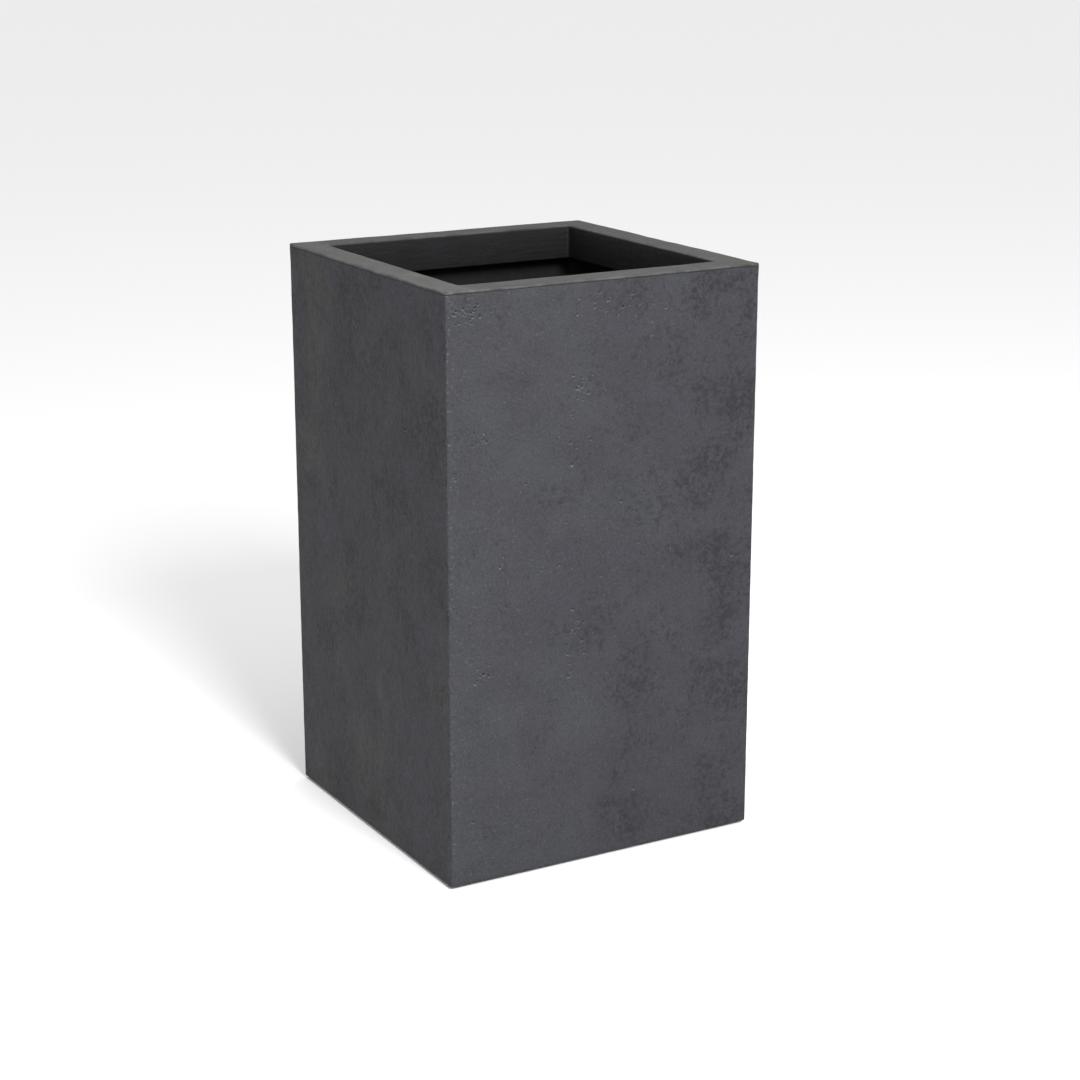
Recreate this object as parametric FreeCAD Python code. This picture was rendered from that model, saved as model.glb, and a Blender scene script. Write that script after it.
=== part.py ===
# A tall square planter of moulded fiberglass, with a lip turned down inside its mouth.
#
# It stands on four pads on the plane z = 0, centred on the origin, with +Z up and -Y
# towards the viewer. Sizes are in millimetres. Each piece is made by a function of its
# own and written to parts/NAME.step.
import FreeCAD, Part
import math
import os

# Whole planter
outside_width = 360.0          # across the walls and the rim, which are flush
total_height = 610.0           # ground to the top of the rim
upright_edge_radius = 3.0      # outside corners in plan

# Rim frame: thin flange, lip turned down at the mouth, leg bonded inside the walls
rim_width = 32.0               # outside edge to the lip's face
rim_flange = 3.0
mouth_corner_radius = 2.0      # inside corner in plan
outer_arris_radius = 1.6
mouth_arris_radius = 2.6
lip_depth = 37.0               # top of the rim to the lip's lower edge
lip_wall = 4.0
lip_edge_radius = 1.6
bond_leg_depth = 20.0          # top of the rim to the leg's lower edge
bond_leg_wall = 3.0

# Side walls
side_wall = 4.5
side_inner_radius = 20.0       # upright corners, inside, filled with laminate
side_top_radius = 0.8          # outside edge under the flange, which leaves a fine groove
side_bottom_chamfer = 0.8
ground_clearance = 3.0         # wall's lower edge above the ground

# Bonded joints
bond_gap = 0.3                 # bed of adhesive

# Floor tray
tray_underside = 24.0          # above the ground
tray_plate = 4.0
tray_wall = 3.0
tray_upstand = 22.0            # underside to the top of the flange

# Feet: block, pad and screw in each corner
block_side = 42.0
block_edge_radius = 3.0
block_to_wall = 8.0            # block's side to the inside of the wall
pad_diameter = 34.0
pad_thickness = 5.0
pad_arris_radius = 1.0
pad_recess_diameter = 14.0
pad_recess_depth = 3.2
screw_diameter = 5.0
screw_clearance = 0.1          # round the shank, in the pad and in the block
screw_length = 16.0            # under the head
screw_head_diameter = 10.0
screw_head_height = 2.6
screw_socket_flats = 3.0
screw_socket_depth = 1.4

# Drain: flanged socket, gasket and lock nut
drain_bore_diameter = 20.0
barrel_diameter = 33.0
barrel_below_tray = 13.0
barrel_clearance = 0.15        # round the barrel, in the tray, gasket and nut
flange_diameter = 52.0
flange_height = 3.0
flange_chamfer = 0.8
gasket_diameter = 50.0
gasket_height = 2.0
nut_flats = 44.0
nut_height = 8.0

# Drain plug and its ring
plug_clearance = 0.06          # round the shank, in the bore
plug_length = 20.0             # under the head
plug_nose_chamfer = 1.2
plug_head_diameter = 30.0
plug_head_height = 4.0
plug_head_chamfer = 0.8
grip_length = 22.0
grip_width = 5.0
grip_height = 9.0
grip_edge_radius = 1.5
ring_section = 2.6
ring_below_head = 9.0          # ring's middle under the head
ring_clearance = 0.04          # ring to the bore, and ring to its groove

# Ledges that carry the false floor
ledge_plate = 4.0
ledge_leg_wall = 4.0
ledge_leg_depth = 32.0         # seat to the leg's lower edge
ledge_seat = 12.0              # false floor's bearing on a ledge
ledge_mitre_gap = 0.4

# False floor
false_floor_depth = 300.0      # top of the rim to the false floor's face
false_floor_to_lip = 3.0       # room on each side as it passes the mouth
false_floor_plate = 5.0
false_floor_corner_radius = 8.0
false_floor_arris_radius = 1.0
skirt_to_ledge = 1.5
skirt_depth = 18.0             # under the plate
skirt_wall = 4.0
rib_wall = 4.0
rib_depth = 14.0               # under the plate
cells_per_side = 3
hand_slot_width = 28.0
hand_slot_length = 72.0
weep_hole_diameter = 8.0
weep_hole_spacing = 40.0
weep_holes_per_side = 2        # in each cell

# Worked out from the sizes above
mouth = outside_width - 2 * rim_width
flange_underside = total_height - rim_flange
outside_outline = (outside_width, upright_edge_radius)
walls_inside = outside_width - 2 * side_wall
walls_top = flange_underside - bond_gap
bonded_side = walls_inside - 2 * bond_gap
walls_inner_outline = (walls_inside, side_inner_radius)
bonded_outline = (bonded_side, side_inner_radius - bond_gap)
tray_top = tray_underside + tray_plate
foot_place = walls_inside / 2 - block_to_wall - block_side / 2
screw_seat = pad_recess_depth
flange_foot = tray_top + gasket_height
flange_top = flange_foot + flange_height
barrel_hole_diameter = barrel_diameter + 2 * barrel_clearance
plug_diameter = drain_bore_diameter - 2 * plug_clearance
plug_nose = flange_top - plug_length
plug_head_top = flange_top + plug_head_height
ring_level = flange_top - ring_below_head
ring_outside = drain_bore_diameter - 2 * ring_clearance
false_floor_side = mouth - 2 * false_floor_to_lip
false_floor_top = total_height - false_floor_depth
seat_level = false_floor_top - false_floor_plate
ledge_opening = false_floor_side - 2 * ledge_seat
skirt_outside = ledge_opening - 2 * skirt_to_ledge
skirt_inside = skirt_outside - 2 * skirt_wall

upwards = FreeCAD.Vector(0, 0, 1)
middle = FreeCAD.Vector(0, 0, 0)
same_place = 0.001             # two places closer than this are one


def rounded_square(outline, level):
    """Face of a square, given as its side and corner radius, centred in plan."""
    side, radius = outline
    half = side / 2
    flat = half - radius
    bulge = flat + radius * math.sqrt(0.5)
    edges = []
    for quarter in range(4):
        line_start = FreeCAD.Vector(half, -flat, level)
        line_end = FreeCAD.Vector(half, flat, level)
        arc_middle = FreeCAD.Vector(bulge, bulge, level)
        arc_end = FreeCAD.Vector(flat, half, level)
        line = Part.makeLine(line_start, line_end)
        arc = Part.Arc(line_end, arc_middle, arc_end).toShape()
        for edge in (line, arc):
            edge.rotate(middle, upwards, 90 * quarter)
            edges.append(edge)
    return Part.Face(Part.Wire(Part.__sortEdges__(edges)))


def post(outline, bottom, top):
    """Upright square bar with round corners."""
    return rounded_square(outline, bottom).extrude(upwards * (top - bottom))


def tube(outside, inside, bottom, top):
    """Upright square tube between two outlines."""
    return post(outside, bottom, top).cut(post(inside, bottom, top))


def within(outline, distance):
    """Outline that runs at a steady distance inside another."""
    side, radius = outline
    return side - 2 * distance, radius - distance


def bar(x_size, y_size, bottom, top, x=0.0, y=0.0):
    """Upright box, centred on a place in plan."""
    corner = FreeCAD.Vector(x - x_size / 2, y - y_size / 2, bottom)
    return Part.makeBox(x_size, y_size, top - bottom, corner)


def rod(diameter, bottom, top, x=0.0, y=0.0):
    """Upright cylinder."""
    return Part.makeCylinder(diameter / 2, top - bottom, FreeCAD.Vector(x, y, bottom))


def ring(outside, inside, bottom, top):
    """Upright pipe on the Z axis."""
    return rod(outside, bottom, top).cut(rod(inside, bottom, top))


def hexagon(flats, bottom, top, x=0.0, y=0.0):
    """Upright hexagonal bar."""
    reach = flats / math.sqrt(3)
    corners = []
    for sixth in range(7):
        angle = math.radians(60 * sixth)
        corners.append(FreeCAD.Vector(x + reach * math.cos(angle), y + reach * math.sin(angle), bottom))
    return Part.Face(Part.makePolygon(corners)).extrude(upwards * (top - bottom))


def level_edges(shape, level, nearest=0.0, farthest=math.inf):
    """Edges that lie on a level, chosen by how far they reach from the Z axis."""
    found = []
    for edge in shape.Edges:
        box = edge.BoundBox
        reach = max(box.XMax, box.YMax, -box.XMin, -box.YMin)
        if abs(box.ZMin - level) < same_place and abs(box.ZMax - level) < same_place:
            if nearest < reach < farthest:
                found.append(edge)
    return found


def upright_edges(shape):
    """Straight edges that run upwards."""
    found = []
    for edge in shape.Edges:
        box = edge.BoundBox
        if box.XLength < same_place and box.YLength < same_place:
            found.append(edge)
    return found


def corner_places(distance):
    """Four places in plan, one in each corner, in order round the planter."""
    return [(-distance, -distance), (distance, -distance), (distance, distance), (-distance, distance)]


def row_places(count, spacing):
    """Evenly spaced places, centred on zero."""
    return [spacing * (index - (count - 1) / 2) for index in range(count)]


def side_walls():
    """Four walls in one moulding, open at the top and at the bottom."""
    walls = post(outside_outline, ground_clearance, walls_top)
    walls = walls.makeFillet(side_top_radius, level_edges(walls, walls_top))
    walls = walls.makeChamfer(side_bottom_chamfer, level_edges(walls, ground_clearance))
    return walls.cut(post(walls_inner_outline, ground_clearance, walls_top))


def rim_frame():
    """Flange, lip and bonding leg in one moulding."""
    lip_foot = total_height - lip_depth
    leg_foot = total_height - bond_leg_depth
    opening = (mouth, mouth_corner_radius)
    flange = tube(outside_outline, opening, flange_underside, total_height)
    lip = tube(within(opening, -lip_wall), opening, lip_foot, total_height)
    leg = tube(bonded_outline, within(bonded_outline, bond_leg_wall), leg_foot, flange_underside)
    rim = flange.fuse([lip, leg]).removeSplitter()
    halfway = (mouth + outside_width) / 4
    rim = rim.makeFillet(outer_arris_radius, level_edges(rim, total_height, nearest=halfway))
    rim = rim.makeFillet(mouth_arris_radius, level_edges(rim, total_height, farthest=halfway))
    return rim.makeFillet(lip_edge_radius, level_edges(rim, lip_foot))


def floor_tray():
    """Floor with a flange turned up against the walls, and a hole for the drain."""
    tray = post(bonded_outline, tray_underside, tray_underside + tray_upstand)
    hollow = post(within(bonded_outline, tray_wall), tray_top, tray_underside + tray_upstand)
    return tray.cut([hollow, rod(barrel_hole_diameter, tray_underside, tray_top)])


def foot_blocks():
    """Blocks under the tray that take the foot screws."""
    blocks = []
    for x, y in corner_places(foot_place):
        block = bar(block_side, block_side, pad_thickness, tray_underside, x, y)
        block = block.makeFillet(block_edge_radius, upright_edges(block))
        hole_top = screw_seat + screw_length
        hole = rod(screw_diameter + 2 * screw_clearance, pad_thickness, hole_top, x, y)
        blocks.append(block.cut(hole))
    return Part.makeCompound(blocks)


def foot_pads():
    """Soft pads that stand on the ground and hide the screw heads."""
    pads = []
    for x, y in corner_places(foot_place):
        pad = rod(pad_diameter, 0, pad_thickness, x, y)
        pad = pad.makeFillet(pad_arris_radius, level_edges(pad, 0))
        recess = rod(pad_recess_diameter, 0, pad_recess_depth, x, y)
        hole = rod(screw_diameter + 2 * screw_clearance, 0, pad_thickness, x, y)
        pads.append(pad.cut([recess, hole]))
    return Part.makeCompound(pads)


def foot_screws():
    """Screws up through the pads into the blocks."""
    screws = []
    head_bottom = screw_seat - screw_head_height
    for x, y in corner_places(foot_place):
        head = rod(screw_head_diameter, head_bottom, screw_seat, x, y)
        shank = rod(screw_diameter, screw_seat, screw_seat + screw_length, x, y)
        socket = hexagon(screw_socket_flats, head_bottom, head_bottom + screw_socket_depth, x, y)
        screws.append(head.fuse(shank).cut(socket))
    return Part.makeCompound(screws)


def drain_socket():
    """Barrel through the tray, with a flange above it."""
    flange = rod(flange_diameter, flange_foot, flange_top)
    flange = flange.makeChamfer(flange_chamfer, level_edges(flange, flange_top))
    barrel = rod(barrel_diameter, tray_underside - barrel_below_tray, flange_foot)
    bore = rod(drain_bore_diameter, tray_underside - barrel_below_tray, flange_top)
    return flange.fuse(barrel).cut(bore)


def drain_gasket():
    """Flat seal between the flange and the tray."""
    return ring(gasket_diameter, barrel_hole_diameter, tray_top, flange_foot)


def drain_nut():
    """Lock nut on the barrel, under the tray."""
    nut_foot = tray_underside - nut_height
    hole = rod(barrel_hole_diameter, nut_foot, tray_underside)
    return hexagon(nut_flats, nut_foot, tray_underside).cut(hole)


def drain_plug():
    """Plug with a flat head that rests on the flange, and a bar to pull it by."""
    shank = rod(plug_diameter, plug_nose, flange_top)
    shank = shank.makeChamfer(plug_nose_chamfer, level_edges(shank, plug_nose))
    head = rod(plug_head_diameter, flange_top, plug_head_top)
    head = head.makeChamfer(plug_head_chamfer, level_edges(head, plug_head_top))
    grip = bar(grip_length, grip_width, plug_head_top, plug_head_top + grip_height)
    grip = grip.makeFillet(grip_edge_radius, level_edges(grip, plug_head_top + grip_height))
    groove_bottom = ring_level - ring_section / 2 - ring_clearance
    groove_top = ring_level + ring_section / 2 + ring_clearance
    groove_core = ring_outside - 2 * ring_section - 2 * ring_clearance
    groove = ring(drain_bore_diameter, groove_core, groove_bottom, groove_top)
    return shank.fuse([head, grip]).cut(groove)


def plug_ring():
    """Round sealing ring in the plug's groove."""
    centre = FreeCAD.Vector(0, 0, ring_level)
    return Part.makeTorus((ring_outside - ring_section) / 2, ring_section / 2, centre)


def ledge(turn):
    """Angle bonded on one wall: a mitred seat and a leg down the wall."""
    back = bonded_side / 2
    front = ledge_opening / 2
    outline = [
        FreeCAD.Vector(-back + ledge_mitre_gap, -back, seat_level - ledge_plate),
        FreeCAD.Vector(back - ledge_mitre_gap, -back, seat_level - ledge_plate),
        FreeCAD.Vector(front - ledge_mitre_gap, -front, seat_level - ledge_plate),
        FreeCAD.Vector(-front + ledge_mitre_gap, -front, seat_level - ledge_plate),
    ]
    seat = Part.Face(Part.makePolygon(outline + outline[:1])).extrude(upwards * ledge_plate)
    seat = seat.common(post(bonded_outline, seat_level - ledge_plate, seat_level))
    leg_run = bonded_side - 2 * side_inner_radius
    leg_place = -back + ledge_leg_wall / 2
    leg = bar(leg_run, ledge_leg_wall, seat_level - ledge_leg_depth, seat_level - ledge_plate, 0, leg_place)
    angle = seat.fuse(leg).removeSplitter()
    angle.rotate(middle, upwards, turn)
    return angle


def false_floor():
    """Perforated plate with a skirt between the ledges, crossed ribs and two hand slots."""
    plate = post((false_floor_side, false_floor_corner_radius), seat_level, false_floor_top)
    plate = plate.makeFillet(false_floor_arris_radius, level_edges(plate, false_floor_top))
    skirt_outline = (skirt_outside, false_floor_corner_radius)
    skirt = tube(skirt_outline, within(skirt_outline, skirt_wall), seat_level - skirt_depth, seat_level)
    cell = skirt_inside / cells_per_side
    rib_length = skirt_inside + skirt_wall
    ribs = []
    for place in row_places(cells_per_side - 1, cell):
        ribs.append(bar(rib_length, rib_wall, seat_level - rib_depth, seat_level, 0, place))
        ribs.append(bar(rib_wall, rib_length, seat_level - rib_depth, seat_level, place, 0))
    openings = []
    for column, x in enumerate(row_places(cells_per_side, cell)):
        for row, y in enumerate(row_places(cells_per_side, cell)):
            at_side = column in (0, cells_per_side - 1)
            at_middle = row == cells_per_side // 2
            openings += hand_slot(x, y) if at_side and at_middle else weep_holes(x, y)
    return plate.fuse([skirt] + ribs).removeSplitter().cut(openings)


def hand_slot(x, y):
    """Long hole with round ends, for the fingers of one hand."""
    straight = hand_slot_length - hand_slot_width
    slot = [bar(hand_slot_width, straight, seat_level, false_floor_top, x, y)]
    for end in (-straight / 2, straight / 2):
        slot.append(rod(hand_slot_width, seat_level, false_floor_top, x, y + end))
    return slot


def weep_holes(x, y):
    """Small holes in one cell that let water through."""
    places = row_places(weep_holes_per_side, weep_hole_spacing)
    return [
        rod(weep_hole_diameter, seat_level, false_floor_top, x + across, y + along)
        for across in places
        for along in places
    ]


pieces = {
    "side_walls": side_walls(),
    "rim_frame": rim_frame(),
    "floor_tray": floor_tray(),
    "foot_blocks": foot_blocks(),
    "foot_pads": foot_pads(),
    "foot_screws": foot_screws(),
    "drain_socket": drain_socket(),
    "drain_gasket": drain_gasket(),
    "drain_nut": drain_nut(),
    "drain_plug": drain_plug(),
    "plug_ring": plug_ring(),
    "ledge_front": ledge(0),
    "ledge_right": ledge(90),
    "ledge_back": ledge(180),
    "ledge_left": ledge(270),
    "false_floor": false_floor(),
}

os.makedirs("parts", exist_ok=True)
for name, shape in pieces.items():
    shape.exportStep("parts/" + name + ".step")
    print(name, "solids", len(shape.Solids), "volume", round(shape.Volume / 1000, 2), "cm3")
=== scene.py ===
import bmesh
import bpy
import math
import random
from mathutils import Matrix, Vector, kdtree, noise


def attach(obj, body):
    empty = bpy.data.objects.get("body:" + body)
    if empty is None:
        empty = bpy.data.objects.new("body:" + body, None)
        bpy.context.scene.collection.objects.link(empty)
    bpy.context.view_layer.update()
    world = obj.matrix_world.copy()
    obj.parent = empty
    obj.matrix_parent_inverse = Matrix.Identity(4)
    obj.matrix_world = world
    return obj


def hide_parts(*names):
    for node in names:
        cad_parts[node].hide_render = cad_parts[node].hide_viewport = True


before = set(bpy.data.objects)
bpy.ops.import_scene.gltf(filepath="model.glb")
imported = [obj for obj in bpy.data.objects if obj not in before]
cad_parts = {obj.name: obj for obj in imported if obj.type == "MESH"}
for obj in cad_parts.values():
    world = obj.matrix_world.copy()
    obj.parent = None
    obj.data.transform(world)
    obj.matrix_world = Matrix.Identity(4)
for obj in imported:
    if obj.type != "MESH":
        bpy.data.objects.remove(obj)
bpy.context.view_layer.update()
mm = 0.001                          # noise scales are per metre: 1000 over a size in mm
weldDistance = 0.00002              # metres, between points that become one
print("frame loaded")


# helpers for materials

def fromHex(code):
    # sRGB hex code to the linear colour the shaders take
    channels = [int(code[i:i + 2], 16) / 255 for i in (1, 3, 5)]
    linear = [c / 12.92 if c <= 0.04045 else ((c + 0.055) / 1.055) ** 2.4 for c in channels]
    return (*linear, 1.0)


def addNode(tree, kind, settings=None, links=None):
    node = tree.nodes.new(kind)
    for name, value in (settings or {}).items():
        if isinstance(name, str) and hasattr(node, name):
            setattr(node, name, value)
        else:
            node.inputs[name].default_value = value
    for name, source in (links or {}).items():
        tree.links.new(source, node.inputs[name])
    return node


def newMaterial(name):
    material = bpy.data.materials.new(name)
    material.use_nodes = True
    tree = material.node_tree
    tree.nodes.clear()
    return material, tree


def grey(value):
    return (value, value, value, 1.0)


def dress(node, material):
    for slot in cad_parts[node].material_slots:
        slot.material = material


# helpers for meshes

def roundedSquare(bm, side, radius, level, arcSteps, runSteps):
    # one square face with rounded corners, cut along its straight runs and left as a wire loop
    made = bmesh.ops.create_grid(bm, x_segments=1, y_segments=1, size=side / 2,
                                 matrix=Matrix.Translation((0, 0, level)))
    bmesh.ops.bevel(bm, geom=made["verts"], offset=radius, affect="VERTICES", segments=arcSteps,
                    profile=0.5, material=-1)
    bm.faces.ensure_lookup_table()
    face = bm.faces[0]              # the only face, because each loop gives its own up
    runs = [e for e in face.edges if e.calc_length() > side - 2 * radius - 1e-6]
    bmesh.ops.subdivide_edges(bm, edges=runs, cuts=runSteps - 1)
    loop = list(face.edges)
    bmesh.ops.delete(bm, geom=[face], context="FACES_ONLY")
    return loop


def onRing(co, old, new):
    # a point of one rounded square, moved to the same place on another
    oldFlat = (old[0] / 2 - old[1]) * mm
    newFlat = (new[0] / 2 - new[1]) * mm
    x = max(-oldFlat, min(oldFlat, co.x))
    y = max(-oldFlat, min(oldFlat, co.y))
    way = Vector((co.x - x, co.y - y, 0)).normalized()
    return Vector((x, y, 0)) * (newFlat / oldFlat) + way * new[1] * mm + Vector((0, 0, new[2] * mm))


def loft(bm, rings, arcSteps, runSteps):
    # each ring is side, corner radius and level in mm, and the last one is joined to the first
    side, radius, level = rings[0]
    edges = roundedSquare(bm, side * mm, radius * mm, level * mm, arcSteps, runSteps)
    for old, new in zip(rings, rings[1:] + rings[:1]):
        made = bmesh.ops.extrude_edge_only(bm, edges=edges)["geom"]
        verts = {g for g in made if isinstance(g, bmesh.types.BMVert)}
        edges = [g for g in made if isinstance(g, bmesh.types.BMEdge) and verts.issuperset(g.verts)]
        for v in verts:
            v.co = onRing(v.co, old, new)
    bmesh.ops.remove_doubles(bm, verts=bm.verts, dist=weldDistance)
    bmesh.ops.recalc_face_normals(bm, faces=bm.faces)


def arcTurns(degrees, steps):
    # equal steps of an arc, from 0 to its last angle
    return [math.radians(degrees * step / steps) for step in range(steps + 1)]


def planNormal(co, side, radius):
    # outward direction in plan at a point of a rounded square
    flat = side / 2 - radius
    x = co.x - max(-flat, min(flat, co.x))
    y = co.y - max(-flat, min(flat, co.y))
    way = Vector((x, y, 0))
    return way.normalized() if way.length > 1e-9 else way


def finishPiece(bm, name, material, body, nodes):
    mesh = bpy.data.meshes.new(name)
    bm.to_mesh(mesh)
    bm.free()
    piece = bpy.data.objects.new(name, mesh)
    bpy.context.scene.collection.objects.link(piece)
    mesh.materials.append(material)
    for face in mesh.polygons:
        face.use_smooth = True
    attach(piece, body)
    if nodes:
        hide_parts(*nodes)
    print(name, len(mesh.polygons), "faces")
    return piece


view = {
    "azimuth": -29.778,
    "elevation": 15.768,
    "lens": 77.616,
    "distance": 2.506043,
    "sideways": 0.022674,
    "height": 0.299286,
}


def addCamera():
    a = math.radians(view["azimuth"])
    e = math.radians(view["elevation"])
    back = Vector((math.sin(a) * math.cos(e), -math.cos(a) * math.cos(e), math.sin(e)))
    right = Vector((math.cos(a), math.sin(a), 0))
    up = back.cross(right)
    data = bpy.data.cameras.new("studioCamera")
    data.lens = view["lens"]
    data.sensor_width = 36
    data.clip_end = 200
    camera = bpy.data.objects.new("studioCamera", data)
    turn = Matrix((right, up, back)).transposed().to_4x4()
    place = Vector((0, 0, view["height"])) + back * view["distance"] + right * view["sideways"]
    camera.matrix_world = Matrix.Translation(place) @ turn
    bpy.context.scene.collection.objects.link(camera)
    bpy.context.scene.camera = camera


addCamera()
print("camera placed")


studio = {
    "floorColour": "#f7f7f7",
    "floorSide": 120.0,
    "domeStrength": 0.9,
    "keyPlace": (-0.25, -2.6, 2.1),     # front of the planter, a little to its left and above
    "keyAim": (0.0, 0.0, 0.35),
    "keySize": 1.1,
    "keyPower": 120.0,
}


def addStudio():
    world = bpy.data.worlds.new("studioWorld")
    bpy.context.scene.world = world
    world.use_nodes = True
    tree = world.node_tree
    tree.nodes.clear()
    dome = addNode(tree, "ShaderNodeBackground",
                   {"Color": grey(1.0), "Strength": studio["domeStrength"]})
    addNode(tree, "ShaderNodeOutputWorld", links={"Surface": dome.outputs["Background"]})

    material, tree = newMaterial("paleStudioFloor")
    surface = addNode(tree, "ShaderNodeBsdfPrincipled",
                      {"Base Color": fromHex(studio["floorColour"]), "Roughness": 0.9,
                       "Specular IOR Level": 0.2})
    addNode(tree, "ShaderNodeOutputMaterial", links={"Surface": surface.outputs["BSDF"]})
    bm = bmesh.new()
    bmesh.ops.create_grid(bm, x_segments=8, y_segments=8, size=studio["floorSide"] / 2)
    mesh = bpy.data.meshes.new("studioFloor")
    bm.to_mesh(mesh)
    bm.free()
    mesh.materials.append(material)
    floor = bpy.data.objects.new("studioFloor", mesh)
    bpy.context.scene.collection.objects.link(floor)

    lamp = bpy.data.lights.new("keyLight", "AREA")
    lamp.shape = "DISK"
    lamp.size = studio["keySize"]
    lamp.energy = studio["keyPower"]
    key = bpy.data.objects.new("keyLight", lamp)
    aim = Vector(studio["keyAim"]) - Vector(studio["keyPlace"])
    turn = aim.to_track_quat("-Z", "Y").to_matrix().to_4x4()
    key.matrix_world = Matrix.Translation(studio["keyPlace"]) @ turn
    bpy.context.scene.collection.objects.link(key)
    bpy.context.scene.view_settings.view_transform = "Standard"
    bpy.context.scene.view_settings.look = "None"


addStudio()
print("studio lit")


rimPaint = {
    "colour": "#3b3c3a",
    "arrisWearAndHighlightColour": "#4a4b4a",       # rubbed lighter along both arrises, and a painted highlight there
    "coatColour": "#303033",        # the walls' coat laps over the outer edge and the four tips
    "lipColour": "#141416",
    "driftSize": 26.0,              # mm, and so are the sizes below
    "grainSize": 2.4,
    "markWidth": 3.2,
    "markLength": 34.0,
    "roughness": 0.58,
}

shellCoat = {
    "slateColour": "#2d2e32",       # blue-grey where the cast skin is whole
    "violetColour": "#2b2a30",      # warmer where it was rubbed down
    "wornSandAndPitShadeColour": "#18171c",        # dark sand that shows where the skin is thin, and painted shade in the pits
    "oliveColour": "#323231",
    "paleFillerAndHighlightColour": "#5b5d60",        # fillers and worn arrises, and the painted highlight on the pits' lower edges
    "hueSize": 75.0,                # mm, and so are the sizes below
    "toneSize": 42.0,
    "wornSize": 62.0,
    "oliveSize": 75.0,
    "speckleSize": 5.5,
    "grainSize": 2.6,               # sand grains of about 1 mm, drawn coarser so that they show
    "streakWidth": 9.0,
    "streakLength": 17.0,
    "roughness": 0.84,
}


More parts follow.
